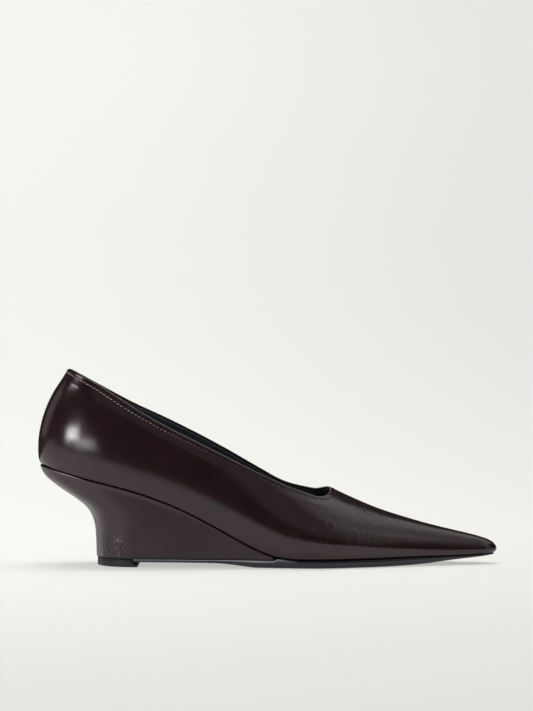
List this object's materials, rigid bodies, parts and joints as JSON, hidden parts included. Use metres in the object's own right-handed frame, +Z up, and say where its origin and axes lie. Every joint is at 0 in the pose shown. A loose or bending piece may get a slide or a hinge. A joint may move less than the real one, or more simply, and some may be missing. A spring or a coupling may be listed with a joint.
{
  "type": "wedge pump",
  "caption": "Right pointed-toe wedge pump in dark glossy leather: hollow upper, insole, covered wedge, outsole and heel lift.",
  "frame": {"origin": "centre of the bounding box in plan, on the floor that the shoe stands on", "axes": "+X from heel to toe, +Y from the outer side of the foot to its inner side, +Z up"},
  "size_m": [0.258, 0.0758, 0.1092],
  "materials": {
    "upper_leather": "polished, almost black burgundy",
    "insole_board": "matte black lining leather",
    "wedge_cover": "satin dark aubergine",
    "sole_leather": "satin black",
    "lift_rubber": "matte black"
  },
  "bodies": {
    "root": {"upper": "upper_leather", "insole": "insole_board", "wedge": "wedge_cover", "outsole": "sole_leather", "heel_lift": "lift_rubber"}
  },
  "joints": []
}
